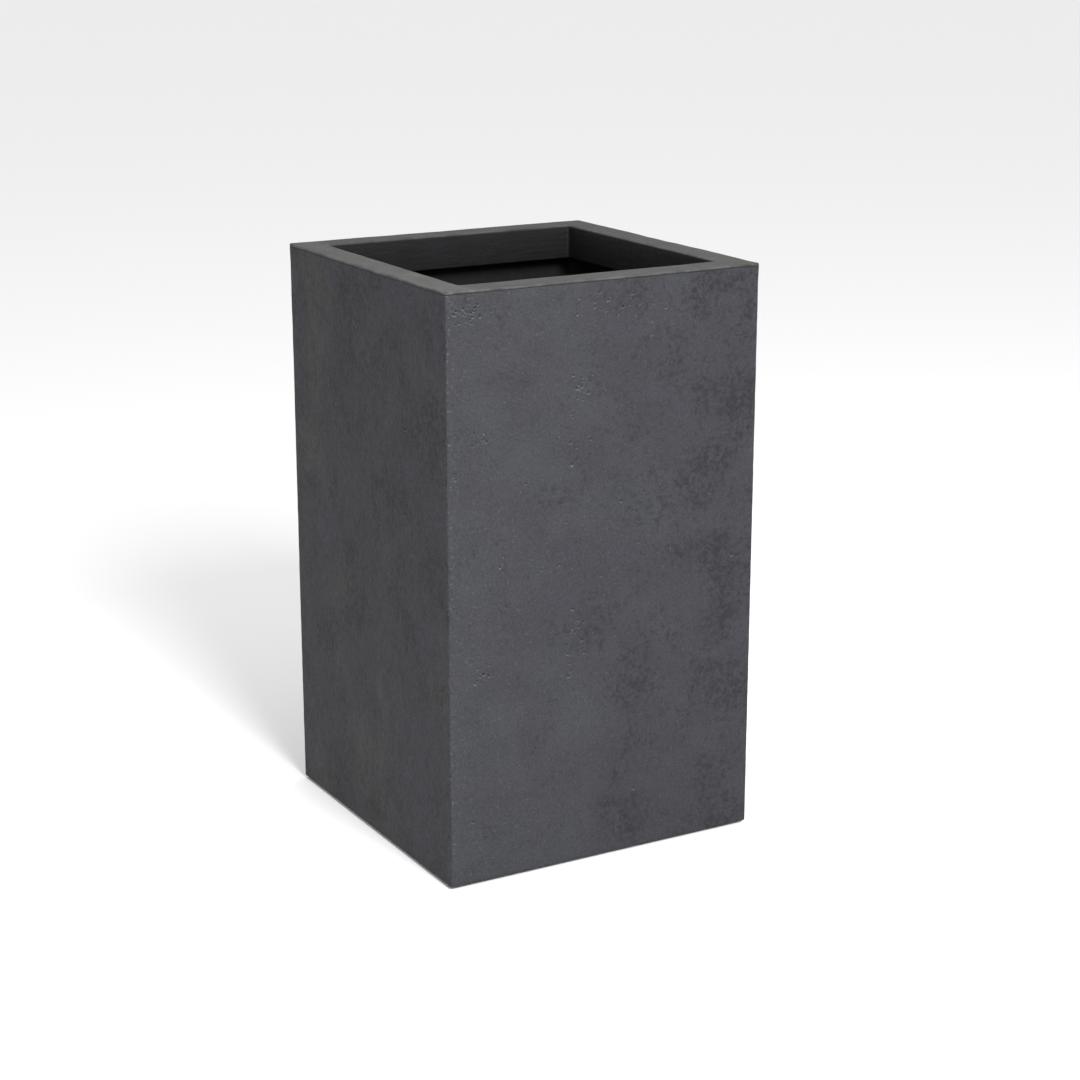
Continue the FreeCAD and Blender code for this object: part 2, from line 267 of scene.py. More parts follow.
def makeShellCoat():
    # pigmented gelcoat cast on sand: dry, matt, finely gritty,
    # darker and speckled where it is worn thin
    c = shellCoat
    material, tree = newMaterial("sandCastGelcoat")
    where = addNode(tree, "ShaderNodeTexCoord").outputs["Object"]
    split = addNode(tree, "ShaderNodeSeparateXYZ", links={"Vector": where})
    absX = addNode(tree, "ShaderNodeMath", {"operation": "ABSOLUTE"}, {0: split.outputs["X"]})
    absY = addNode(tree, "ShaderNodeMath", {"operation": "ABSOLUTE"}, {0: split.outputs["Y"]})
    onSides = addNode(tree, "ShaderNodeMath", {"operation": "GREATER_THAN"},
                      {0: absX.outputs[0], 1: absY.outputs[0]})
    toRight = addNode(tree, "ShaderNodeMapRange", {"From Min": -0.19, "From Max": 0.13},
                      {"Value": split.outputs["X"]})

    # slate to violet in broad drifts
    hue = addNode(tree, "ShaderNodeTexNoise",
                  {"Scale": 1000 / c["hueSize"], "Detail": 3.0, "Roughness": 0.55},
                  {"Vector": where})
    drift = addNode(tree, "ShaderNodeMath", {"operation": "MULTIPLY_ADD", 1: 0.24},
                    {0: toRight.outputs["Result"], 2: hue.outputs["Fac"]})
    drifted = addNode(tree, "ShaderNodeMapRange", {"From Min": 0.49, "From Max": 0.68},
                      {"Value": drift.outputs[0]})
    violet = addNode(tree, "ShaderNodeMath", {"operation": "MAXIMUM"},
                     {0: drifted.outputs["Result"], 1: onSides.outputs[0]})
    skin = addNode(tree, "ShaderNodeMix",
                   {"data_type": "RGBA", 6: fromHex(c["slateColour"]),
                    7: fromHex(c["violetColour"])}, {0: violet.outputs[0]})

    # streaks run down the two sides, with olive patches among them
    tall = addNode(tree, "ShaderNodeMapping",
                   {"Scale": (1.0, 1.0, c["streakWidth"] / c["streakLength"])}, {"Vector": where})
    streak = addNode(tree, "ShaderNodeTexNoise",
                     {"Scale": 1000 / c["streakWidth"], "Detail": 4.0, "Roughness": 0.5,
                      "Distortion": 1.4}, {"Vector": tall.outputs["Vector"]})
    broad = addNode(tree, "ShaderNodeTexNoise",
                    {"Scale": 1000 / c["oliveSize"], "Detail": 5.0, "Roughness": 0.55},
                    {"Vector": tall.outputs["Vector"]})
    patches = addNode(tree, "ShaderNodeMapRange",
                      {"From Min": 0.5, "From Max": 0.62, "To Max": 0.65,
                       "interpolation_type": "SMOOTHSTEP"}, {"Value": broad.outputs["Fac"]})
    oliveHere = addNode(tree, "ShaderNodeMath", {"operation": "MULTIPLY"},
                        {0: patches.outputs["Result"], 1: onSides.outputs[0]})
    tinted = addNode(tree, "ShaderNodeMix", {"data_type": "RGBA", 7: fromHex(c["oliveColour"])},
                     {0: oliveHere.outputs[0], 6: skin.outputs[2]})

    # worn clouds: a broad region decides where, fine speckle decides which grains are bare
    region = addNode(tree, "ShaderNodeTexNoise",
                     {"Scale": 1000 / c["wornSize"], "Detail": 3.0, "Roughness": 0.5,
                      "Distortion": 0.5}, {"Vector": where})
    speckle = addNode(tree, "ShaderNodeTexNoise",
                      {"Scale": 1000 / c["speckleSize"], "Detail": 5.0, "Roughness": 0.72},
                      {"Vector": where})
    sidesToo = addNode(tree, "ShaderNodeMath", {"operation": "MULTIPLY", 1: 0.8},
                       {0: onSides.outputs[0]})
    lean = addNode(tree, "ShaderNodeMath", {"operation": "MAXIMUM"},
                   {0: toRight.outputs["Result"], 1: sidesToo.outputs[0]})
    leaning = addNode(tree, "ShaderNodeMath", {"operation": "MULTIPLY_ADD", 1: 0.26},
                      {0: lean.outputs[0], 2: region.outputs["Fac"]})
    bare = addNode(tree, "ShaderNodeMath", {"operation": "MULTIPLY_ADD", 1: 1.5},
                   {0: speckle.outputs["Fac"], 2: leaning.outputs[0]})
    worn = addNode(tree, "ShaderNodeMapRange",
                   {"From Min": 1.44, "From Max": 1.86, "To Max": 0.85,
                    "interpolation_type": "SMOOTHSTEP"}, {"Value": bare.outputs[0]})
    rubbed = addNode(tree, "ShaderNodeMix", {"data_type": "RGBA", 7: fromHex(c["wornSandAndPitShadeColour"])},
                     {0: worn.outputs["Result"], 6: tinted.outputs[2]})

    # lighter and darker by tone, streak and grain
    tone = addNode(tree, "ShaderNodeTexNoise",
                   {"Scale": 1000 / c["toneSize"], "Detail": 6.0, "Roughness": 0.6},
                   {"Vector": where})
    grain = addNode(tree, "ShaderNodeTexNoise",
                    {"Scale": 1000 / c["grainSize"], "Detail": 2.0, "Roughness": 0.8},
                    {"Vector": where})
    streakTone = addNode(tree, "ShaderNodeMapRange",
                         {"From Min": 0.3, "From Max": 0.7, "To Min": -0.24, "To Max": 0.24},
                         {"Value": streak.outputs["Fac"]})
    streakHere = addNode(tree, "ShaderNodeMath", {"operation": "MULTIPLY"},
                         {0: streakTone.outputs["Result"], 1: onSides.outputs[0]})
    toneShift = addNode(tree, "ShaderNodeMapRange",
                        {"From Min": 0.3, "From Max": 0.7, "To Min": 0.91, "To Max": 1.09},
                        {"Value": tone.outputs["Fac"]})
    grainShift = addNode(tree, "ShaderNodeMapRange",
                         {"From Min": 0.25, "From Max": 0.75, "To Min": -0.33, "To Max": 0.33},
                         {"Value": grain.outputs["Fac"]})
    shifts = addNode(tree, "ShaderNodeMath", {"operation": "ADD"},
                     {0: streakHere.outputs[0], 1: grainShift.outputs["Result"]})
    toned = addNode(tree, "ShaderNodeMath", {"operation": "ADD"},
                    {0: shifts.outputs[0], 1: toneShift.outputs["Result"]})
    speckleShift = addNode(tree, "ShaderNodeMapRange",
                           {"From Min": 0.3, "From Max": 0.7, "To Min": 0.13, "To Max": -0.13},
                           {"Value": speckle.outputs["Fac"]})
    speckled = addNode(tree, "ShaderNodeMath", {"operation": "ADD"},
                       {0: toned.outputs[0], 1: speckleShift.outputs["Result"]})
    cloud = addNode(tree, "ShaderNodeMapRange",
                    {"From Min": 0.45, "From Max": 0.85, "To Min": 0.04, "To Max": -0.09},
                    {"Value": leaning.outputs[0]})
    shade = addNode(tree, "ShaderNodeMath", {"operation": "ADD"},
                    {0: speckled.outputs[0], 1: cloud.outputs["Result"]})
    gritty = addNode(tree, "ShaderNodeMix", {"data_type": "RGBA", "blend_type": "MULTIPLY", 0: 1.0},
                     {6: rubbed.outputs[2], 7: shade.outputs[0]})

    # pale specks, thickest along the upright arrises
    edge = addNode(tree, "ShaderNodeMath", {"operation": "MINIMUM"},
                   {0: absX.outputs[0], 1: absY.outputs[0]})
    nearEdge = addNode(tree, "ShaderNodeMapRange",
                       {"From Min": 0.168, "From Max": 0.178, "To Max": 0.045},
                       {"Value": edge.outputs[0]})
    dust = addNode(tree, "ShaderNodeTexNoise", {"Scale": 330.0, "Detail": 3.0, "Roughness": 0.8},
                   {"Vector": where})
    edged = addNode(tree, "ShaderNodeMath", {"operation": "ADD"},
                    {0: dust.outputs["Fac"], 1: nearEdge.outputs["Result"]})
    dusty = addNode(tree, "ShaderNodeMath", {"operation": "MULTIPLY_ADD", 1: -0.04},
                    {0: lean.outputs[0], 2: edged.outputs[0]})
    speck = addNode(tree, "ShaderNodeMapRange", {"From Min": 0.6, "From Max": 0.74, "To Max": 0.6},
                    {"Value": dusty.outputs[0]})
    specked = addNode(tree, "ShaderNodeMix", {"data_type": "RGBA", 7: fromHex(c["paleFillerAndHighlightColour"])},
                      {0: speck.outputs["Result"], 6: gritty.outputs[2]})

    # painted shade in the bottoms of the pits, and a painted highlight on their lower edges
    pit = addNode(tree, "ShaderNodeAttribute", {"attribute_name": "pitDepth"})
    pitPaintedShade = addNode(tree, "ShaderNodeMath", {"operation": "MULTIPLY", 1: 0.75},
                   {0: pit.outputs["Fac"]})
    pitShadedColour = addNode(tree, "ShaderNodeMix", {"data_type": "RGBA", 7: fromHex(c["wornSandAndPitShadeColour"])},
                      {0: pitPaintedShade.outputs[0], 6: specked.outputs[2]})
    pitEdge = addNode(tree, "ShaderNodeAttribute", {"attribute_name": "pitEdge"})
    pitted = addNode(tree, "ShaderNodeMix", {"data_type": "RGBA", 7: fromHex(c["paleFillerAndHighlightColour"])},
                     {0: pitEdge.outputs["Fac"], 6: pitShadedColour.outputs[2]})

    # the rim's paint runs over the top of the walls by an uneven millimetre or two
    ragged = addNode(tree, "ShaderNodeMath", {"operation": "MULTIPLY_ADD", 1: 0.007},
                     {0: tone.outputs["Fac"], 2: split.outputs["Z"]})
    lap = addNode(tree, "ShaderNodeMapRange",
                  {"From Min": 0.6096, "From Max": 0.6110, "To Max": 0.6},
                  {"Value": ragged.outputs[0]})
    lapped = addNode(tree, "ShaderNodeMix", {"data_type": "RGBA", 7: fromHex(rimPaint["colour"])},
                     {0: lap.outputs["Result"], 6: pitted.outputs[2]})

    height = addNode(tree, "ShaderNodeMath", {"operation": "MULTIPLY_ADD", 1: 0.8},
                     {0: speckle.outputs["Fac"], 2: grain.outputs["Fac"]})
    bump = addNode(tree, "ShaderNodeBump", {"Strength": 1.0, "Distance": 0.0014},
                   {"Height": height.outputs[0]})
    surface = addNode(tree, "ShaderNodeBsdfPrincipled",
                      {"Roughness": c["roughness"], "IOR": 1.5, "Specular IOR Level": 0.4},
                      {"Base Color": lapped.outputs[2], "Normal": bump.outputs["Normal"]})
    addNode(tree, "ShaderNodeOutputMaterial", links={"Surface": surface.outputs["BSDF"]})
    return material


def makeRimPaint():
    # satin paint rolled on the flange, thin on its arrises with a painted highlight along them,
    # painted lighter and darker along its runs as sheen and shade, and dark down the lip
    c = rimPaint
    material, tree = newMaterial("satinRimPaint")
    where = addNode(tree, "ShaderNodeTexCoord").outputs["Object"]
    split = addNode(tree, "ShaderNodeSeparateXYZ", links={"Vector": where})
    absX = addNode(tree, "ShaderNodeMath", {"operation": "ABSOLUTE"}, {0: split.outputs["X"]})
    absY = addNode(tree, "ShaderNodeMath", {"operation": "ABSOLUTE"}, {0: split.outputs["Y"]})
    reach = addNode(tree, "ShaderNodeMath", {"operation": "MAXIMUM"},
                    {0: absX.outputs[0], 1: absY.outputs[0]})
    tip = addNode(tree, "ShaderNodeMath", {"operation": "MINIMUM"},
                  {0: absX.outputs[0], 1: absY.outputs[0]})
    grain = addNode(tree, "ShaderNodeTexNoise",
                    {"Scale": 1000 / c["grainSize"], "Detail": 3.0, "Roughness": 0.7},
                    {"Vector": where})
    drift = addNode(tree, "ShaderNodeTexNoise",
                    {"Scale": 1000 / c["driftSize"], "Detail": 5.0, "Roughness": 0.65},
                    {"Vector": where})

    # roller marks follow each run of the frame
    squeeze = c["markWidth"] / c["markLength"]
    marks = []
    for stretch in ((squeeze, 1.0, 1.0), (1.0, squeeze, 1.0)):
        drawn = addNode(tree, "ShaderNodeMapping", {"Scale": stretch}, {"Vector": where})
        marks.append(addNode(tree, "ShaderNodeTexNoise",
                             {"Scale": 1000 / c["markWidth"], "Detail": 3.0, "Roughness": 0.6},
                             {"Vector": drawn.outputs["Vector"]}))
    gap = addNode(tree, "ShaderNodeMath", {"operation": "SUBTRACT"},
                  {0: absX.outputs[0], 1: absY.outputs[0]})
    onSides = addNode(tree, "ShaderNodeMapRange", {"From Min": -0.008, "From Max": 0.008},
                      {"Value": gap.outputs[0]})
    rolled = addNode(tree, "ShaderNodeMix", {"data_type": "FLOAT"},
                     {0: onSides.outputs["Result"], 2: marks[0].outputs["Fac"],
                      3: marks[1].outputs["Fac"]})

    # both arrises are rubbed in patches, and painted lighter there as a highlight
    outer = addNode(tree, "ShaderNodeMapRange",
                    {"From Min": 0.1770, "From Max": 0.1788, "To Max": 0.5},
                    {"Value": reach.outputs[0]})
    inner = addNode(tree, "ShaderNodeMapRange", {"From Min": 0.1512, "From Max": 0.1494},
                    {"Value": reach.outputs[0]})
    edges = addNode(tree, "ShaderNodeMath", {"operation": "ADD"},
                    {0: outer.outputs["Result"], 1: inner.outputs["Result"]})
    patchy = addNode(tree, "ShaderNodeMapRange", {"From Min": 0.3, "From Max": 0.6, "To Min": 0.25},
                     {"Value": drift.outputs["Fac"]})
    rubbed = addNode(tree, "ShaderNodeMath", {"operation": "MULTIPLY"},
                     {0: edges.outputs[0], 1: patchy.outputs["Result"]})
    top = addNode(tree, "ShaderNodeMix",
                  {"data_type": "RGBA", 6: fromHex(c["colour"]), 7: fromHex(c["arrisWearAndHighlightColour"])},
                  {0: rubbed.outputs[0]})

    # painted light: the left run is painted paler as a sheen, and the paint is painted darker
    # towards the back as shade
    leftRunPaintedSheen = addNode(tree, "ShaderNodeMapRange",
                      {"From Min": -0.143, "From Max": -0.152, "To Min": 1.0, "To Max": 1.45},
                      {"Value": split.outputs["X"]})
    backwardPaintedShade = addNode(tree, "ShaderNodeMapRange",
                       {"From Min": -0.15, "From Max": 0.18, "To Min": 1.08, "To Max": 0.75},
                       {"Value": split.outputs["Y"]})
    paintedRunLight = addNode(tree, "ShaderNodeMath", {"operation": "MULTIPLY"},
                      {0: leftRunPaintedSheen.outputs["Result"], 1: backwardPaintedShade.outputs["Result"]})
    paintedRunLit = addNode(tree, "ShaderNodeMix", {"data_type": "RGBA", "blend_type": "MULTIPLY", 0: 1.0},
                     {6: top.outputs[2], 7: paintedRunLight.outputs[0]})

    # the walls' coat laps over the four tips and raggedly over the outer edge
    atTips = addNode(tree, "ShaderNodeMapRange",
                     {"From Min": 0.172, "From Max": 0.1775, "To Max": 0.7,
                      "interpolation_type": "SMOOTHSTEP"}, {"Value": tip.outputs[0]})
    ragged = addNode(tree, "ShaderNodeMath", {"operation": "MULTIPLY_ADD", 1: 0.004},
                     {0: drift.outputs["Fac"], 2: split.outputs["Z"]})
    onEdge = addNode(tree, "ShaderNodeMapRange", {"From Min": 0.6110, "From Max": 0.6096},
                     {"Value": ragged.outputs[0]})
    lapped = addNode(tree, "ShaderNodeMath", {"operation": "MAXIMUM"},
                     {0: atTips.outputs["Result"], 1: onEdge.outputs["Result"]})
    cornered = addNode(tree, "ShaderNodeMix", {"data_type": "RGBA", 7: fromHex(c["coatColour"])},
                       {0: lapped.outputs[0], 6: paintedRunLit.outputs[2]})

    # dark down the lip
    inside = addNode(tree, "ShaderNodeMath", {"operation": "LESS_THAN", 1: 0.16},
                     {0: reach.outputs[0]})
    low = addNode(tree, "ShaderNodeMapRange",
                  {"From Min": 0.6093, "From Max": 0.6078, "interpolation_type": "SMOOTHSTEP"},
                  {"Value": split.outputs["Z"]})
    lip = addNode(tree, "ShaderNodeMath", {"operation": "MULTIPLY"},
                  {0: inside.outputs[0], 1: low.outputs["Result"]})
    colour = addNode(tree, "ShaderNodeMix", {"data_type": "RGBA", 7: fromHex(c["lipColour"])},
                     {0: lip.outputs[0], 6: cornered.outputs[2]})

    # lighter and darker by grain, drift and roller marks
    mixed = addNode(tree, "ShaderNodeMath", {"operation": "ADD"},
                    {0: grain.outputs["Fac"], 1: drift.outputs["Fac"]})
    summed = addNode(tree, "ShaderNodeMath", {"operation": "ADD"},
                     {0: mixed.outputs[0], 1: rolled.outputs[0]})
    tone = addNode(tree, "ShaderNodeMapRange",
                   {"From Min": 1.1, "From Max": 1.9, "To Min": 0.64, "To Max": 1.36},
                   {"Value": summed.outputs[0]})
    coloured = addNode(tree, "ShaderNodeMix",
                       {"data_type": "RGBA", "blend_type": "MULTIPLY", 0: 1.0},
                       {6: colour.outputs[2], 7: tone.outputs["Result"]})
    height = addNode(tree, "ShaderNodeMath", {"operation": "ADD"},
                     {0: grain.outputs["Fac"], 1: rolled.outputs[0]})
    bump = addNode(tree, "ShaderNodeBump", {"Strength": 0.7, "Distance": 0.0006},
                   {"Height": height.outputs[0]})
    surface = addNode(tree, "ShaderNodeBsdfPrincipled",
                      {"Roughness": c["roughness"], "IOR": 1.5, "Specular IOR Level": 0.2},
                      {"Base Color": coloured.outputs[2], "Normal": bump.outputs["Normal"]})
    addNode(tree, "ShaderNodeOutputMaterial", links={"Surface": surface.outputs["BSDF"]})
    return material


laminate = {
    "colour": "#0f0f10",
    "strandColour": "#161617",
    "strandLength": 22.0,           # mm
    "roughness": 0.62,
}


def makeLaminate():
    # dark gelcoat rolled over chopped glass strands: the strands print through as short ridges
    c = laminate
    material, tree = newMaterial("choppedStrandLaminate")
    where = addNode(tree, "ShaderNodeTexCoord").outputs["Object"]
    bend = addNode(tree, "ShaderNodeTexNoise", {"Scale": 60.0, "Detail": 2.0}, {"Vector": where})
    strands = addNode(tree, "ShaderNodeTexNoise",
                      {"Scale": 1000 / c["strandLength"], "Detail": 6.0, "Roughness": 0.75,
                       "Distortion": 2.6}, {"Vector": where})
    mask = addNode(tree, "ShaderNodeMapRange", {"From Min": 0.46, "From Max": 0.6},
                   {"Value": strands.outputs["Fac"]})
    colour = addNode(tree, "ShaderNodeMix",
                     {"data_type": "RGBA", 6: fromHex(c["colour"]), 7: fromHex(c["strandColour"])},
                     {0: mask.outputs["Result"]})
    height = addNode(tree, "ShaderNodeMath", {"operation": "ADD"},
                     {0: strands.outputs["Fac"], 1: bend.outputs["Fac"]})
    bump = addNode(tree, "ShaderNodeBump", {"Strength": 0.5, "Distance": 0.0008},
                   {"Height": height.outputs[0]})
    surface = addNode(tree, "ShaderNodeBsdfPrincipled",
                      {"Roughness": c["roughness"], "IOR": 1.52, "Specular IOR Level": 0.25},
                      {"Base Color": colour.outputs[2], "Normal": bump.outputs["Normal"]})
    addNode(tree, "ShaderNodeOutputMaterial", links={"Surface": surface.outputs["BSDF"]})
    return material


birchPly = {
    "veneerColour": "#a98a61",
    "coreColour": "#7b5c3c",
    "veneer": 1.4,                  # mm, each layer
    "grainWidth": 1.6,
}


def makeBirchPly():
    # birch plywood sealed with clear resin: layers on its sides, long grain on its face
    c = birchPly
    material, tree = newMaterial("sealedBirchPlywood")
    where = addNode(tree, "ShaderNodeTexCoord").outputs["Object"]
    split = addNode(tree, "ShaderNodeSeparateXYZ", links={"Vector": where})
    layers = addNode(tree, "ShaderNodeMath", {"operation": "PINGPONG", 1: c["veneer"] * mm},
                     {0: split.outputs["Z"]})
    band = addNode(tree, "ShaderNodeMapRange", {"From Min": 0.0003, "From Max": 0.0011},
                   {"Value": layers.outputs[0]})
    along = addNode(tree, "ShaderNodeMapping", {"Scale": (0.08, 1.0, 1.0)}, {"Vector": where})
    grain = addNode(tree, "ShaderNodeTexNoise",
                    {"Scale": 1000 / c["grainWidth"], "Detail": 4.0, "Roughness": 0.6},
                    {"Vector": along.outputs["Vector"]})
    mixed = addNode(tree, "ShaderNodeMath", {"operation": "MULTIPLY_ADD", 1: 0.5},
                    {0: band.outputs["Result"], 2: grain.outputs["Fac"]})
    share = addNode(tree, "ShaderNodeMapRange", {"From Min": 0.35, "From Max": 1.05},
                    {"Value": mixed.outputs[0]})
    colour = addNode(tree, "ShaderNodeMix",
                     {"data_type": "RGBA", 6: fromHex(c["veneerColour"]),
                      7: fromHex(c["coreColour"])}, {0: share.outputs["Result"]})
    bump = addNode(tree, "ShaderNodeBump", {"Strength": 0.3, "Distance": 0.0003},
                   {"Height": grain.outputs["Fac"]})
    surface = addNode(tree, "ShaderNodeBsdfPrincipled", {"Roughness": 0.42, "IOR": 1.5},
                      {"Base Color": colour.outputs[2], "Normal": bump.outputs["Normal"]})
    addNode(tree, "ShaderNodeOutputMaterial", links={"Surface": surface.outputs["BSDF"]})
    return material


steel = {
    "colour": "#b9b9bb",
    "lineWidth": 0.35,              # mm, turning marks
}


def makeSteel():
    # stainless steel turned on a lathe: fine rings, and a dull grey shine
    c = steel
    material, tree = newMaterial("turnedStainlessSteel")
    where = addNode(tree, "ShaderNodeTexCoord").outputs["Object"]
    marks = addNode(tree, "ShaderNodeTexNoise", {"Scale": 1000 / c["lineWidth"], "Detail": 2.0},
                    {"Vector": where})
    film = addNode(tree, "ShaderNodeTexNoise", {"Scale": 300.0, "Detail": 3.0}, {"Vector": where})
    dull = addNode(tree, "ShaderNodeMapRange", {"To Min": 0.25, "To Max": 0.5},
                   {"Value": film.outputs["Fac"]})
    bump = addNode(tree, "ShaderNodeBump", {"Strength": 0.15, "Distance": 0.00005},
                   {"Height": marks.outputs["Fac"]})
    surface = addNode(tree, "ShaderNodeBsdfPrincipled",
                      {"Base Color": fromHex(c["colour"]), "Metallic": 1.0},
                      {"Roughness": dull.outputs["Result"], "Normal": bump.outputs["Normal"]})
    addNode(tree, "ShaderNodeOutputMaterial", links={"Surface": surface.outputs["BSDF"]})
    return material


mouldings = {
    # name: body colour, scuffed colour, texture size and depth in mm,
    # lowest and highest roughness
    "mouldedRubber": ("#171717", "#262625", 1.3, 0.12, 0.62, 0.85),
    "blackPolypropylene": ("#1a1a1c", "#2a2a2c", 0.9, 0.05, 0.32, 0.5),
    "sealingRubber": ("#101010", "#1c1c1c", 0.7, 0.03, 0.4, 0.6),
    "greyPolypropylene": ("#3f4042", "#525355", 1.1, 0.08, 0.42, 0.62),
}


def makeMoulding(name):
    # rubber or plastic from a spark-eroded mould: an even fine texture, scuffed a little lighter
    body, scuffed, size, depth, low, high = mouldings[name]
    material, tree = newMaterial(name)
    where = addNode(tree, "ShaderNodeTexCoord").outputs["Object"]
    texture = addNode(tree, "ShaderNodeTexNoise",
                      {"Scale": 1000 / size, "Detail": 2.0, "Roughness": 0.6}, {"Vector": where})
    scuffs = addNode(tree, "ShaderNodeTexNoise",
                     {"Scale": 70.0, "Detail": 7.0, "Roughness": 0.7, "Distortion": 0.8},
                     {"Vector": where})
    mask = addNode(tree, "ShaderNodeMapRange", {"From Min": 0.5, "From Max": 0.68},
                   {"Value": scuffs.outputs["Fac"]})
    colour = addNode(tree, "ShaderNodeMix",
                     {"data_type": "RGBA", 6: fromHex(body), 7: fromHex(scuffed)},
                     {0: mask.outputs["Result"]})
    dull = addNode(tree, "ShaderNodeMapRange", {"To Min": low, "To Max": high},
                   {"Value": scuffs.outputs["Fac"]})
    bump = addNode(tree, "ShaderNodeBump", {"Strength": 0.6, "Distance": depth * mm},
                   {"Height": texture.outputs["Fac"]})
    surface = addNode(tree, "ShaderNodeBsdfPrincipled", {"IOR": 1.49},
                      {"Base Color": colour.outputs[2], "Roughness": dull.outputs["Result"],
                       "Normal": bump.outputs["Normal"]})
    addNode(tree, "ShaderNodeOutputMaterial", links={"Surface": surface.outputs["BSDF"]})
    return material


shellMaterial = makeShellCoat()
rimMaterial = makeRimPaint()
laminateMaterial = makeLaminate()
floorMaterial = makeMoulding("greyPolypropylene")
print("materials made")


wallShell = {
    "outside": 360.0,               # mm, and so are the sizes below
    "edgeRadius": 3.0,
    "inside": 351.0,
    "insideRadius": 20.0,
    "bottom": 3.0,
    "top": 606.7,
    "topRadius": 0.8,
    "bottomChamfer": 0.8,
    "arcSteps": 6,
    "runSteps": 60,
    "rows": 168,
    "innerRows": 24,
    "waveHeight": 0.6,              # long unevenness of the mould, only inwards
    "waveLength": 130.0,
    "rippleHeight": 0.3,            # short unevenness, which frays the arrises
    "rippleLength": 13.0,
    "chipDepth": 0.6,               # wear along the upright arrises
    "chipWidth": 3.0,
    "chipLength": 15.0,
    "chipShift": (7, 3, 5),         # keeps the chips' noise apart from the waves'
    "evenTop": 1.0,                 # stays true under the rim
    "fade": 20.0,                   # below the top, where the unevenness dies away
}


pitField = {
    "seed": 11,
    "clusters": [                   # side, middle along it, height, both spreads, how many
        ("front", -158, 588, 14, 13, 30),
        ("front", -34, 500, 12, 14, 18),
        ("front", -40, 455, 5, 20, 16),
        ("front", -143, 462, 8, 9, 14),
        ("front", -170, 445, 6, 12, 6),
        ("front", 0, 586, 34, 11, 22),
        ("front", 64, 556, 26, 30, 12),
        ("front", -34, 262, 12, 14, 15),
        ("front", -40, 218, 5, 18, 7),
        ("front", -143, 226, 9, 10, 11),
        ("front", -60, 350, 60, 70, 12),
        ("left", 60, 430, 60, 90, 9),
        ("left", -90, 250, 50, 90, 7),
        ("back", -40, 480, 60, 60, 12),
        ("back", 70, 220, 60, 80, 10),
        ("right", 30, 500, 60, 60, 10),
        ("right", -60, 180, 60, 80, 9),
    ],
    "gather": 0.6,                  # of a cluster's spread, the deviation of its bell curve
    "scattered": 80,
    "scatterAlong": 170,            # mm, either way from a side's middle
    "scatterLevels": (12, 598),
    "farthestAlong": 171,           # mm, keeps every pit clear of the arrises
    "lowest": 9,
    "highest": 599,
    "radius": (0.6, 1.8),           # mm
    "shrink": (0.6, 1.0),           # of the radius
    "depth": (0.5, 0.9),            # of the radius
    "turn": (0, 6.28),
    "lobes": (0.25, 0.12),          # of the radius, two and three round a pit
    "reach": 1.35,                  # radii that a pit changes
    "edgePlace": 1.15,              # radii, middle of the raised edge
    "edgeWidth": 0.3,
    "edgeHeight": 0.1,              # of the depth
    # strength of the painted highlight on a pit's lower edge
    "edgeHighlightGain": 15,
    "refining": ((3, 0.003), (2, 0.0006)),      # cuts, and metres round a pit
    "finestEdge": 0.0006,           # metres, shorter edges aren't cut again
    "carveMargin": 0.0002,
}
sideTurns = {"front": 0, "right": 90, "back": 180, "left": 270}


def pitPlaces():
    f = pitField
    dice = random.Random(f["seed"])
    found = []
    for side, along, level, spreadAlong, spreadUp, count in f["clusters"]:
        for _ in range(count):
            found.append((side, along + dice.gauss(0, spreadAlong * f["gather"]),
                          level + dice.gauss(0, spreadUp * f["gather"])))
    for _ in range(f["scattered"]):
        found.append((dice.choice(sorted(sideTurns)),
                      dice.uniform(-f["scatterAlong"], f["scatterAlong"]),
                      dice.uniform(*f["scatterLevels"])))
    pits = []
    for side, along, level in found:
        along = max(-f["farthestAlong"], min(f["farthestAlong"], along))
        level = max(f["lowest"], min(f["highest"], level))
        turn = Matrix.Rotation(math.radians(sideTurns[side]), 3, "Z")
        radius = dice.uniform(*f["radius"]) * dice.uniform(*f["shrink"])
        depth = radius * dice.uniform(*f["depth"])
        place = turn @ Vector((along, -wallShell["outside"] / 2, level)) * mm
        pits.append((place, radius * mm, depth * mm, dice.uniform(*f["turn"])))
    return pits


def nearPits(items, places, pits, margin):
    # the items that lie round any pit, each with its pit
    tree = kdtree.KDTree(len(places))
    for index, place in enumerate(places):
        tree.insert(place, index)
    tree.balance()
    return [(items[index], pit) for pit in pits
            for _, index, _ in tree.find_range(pit[0], pit[1] * pitField["reach"] + margin)]


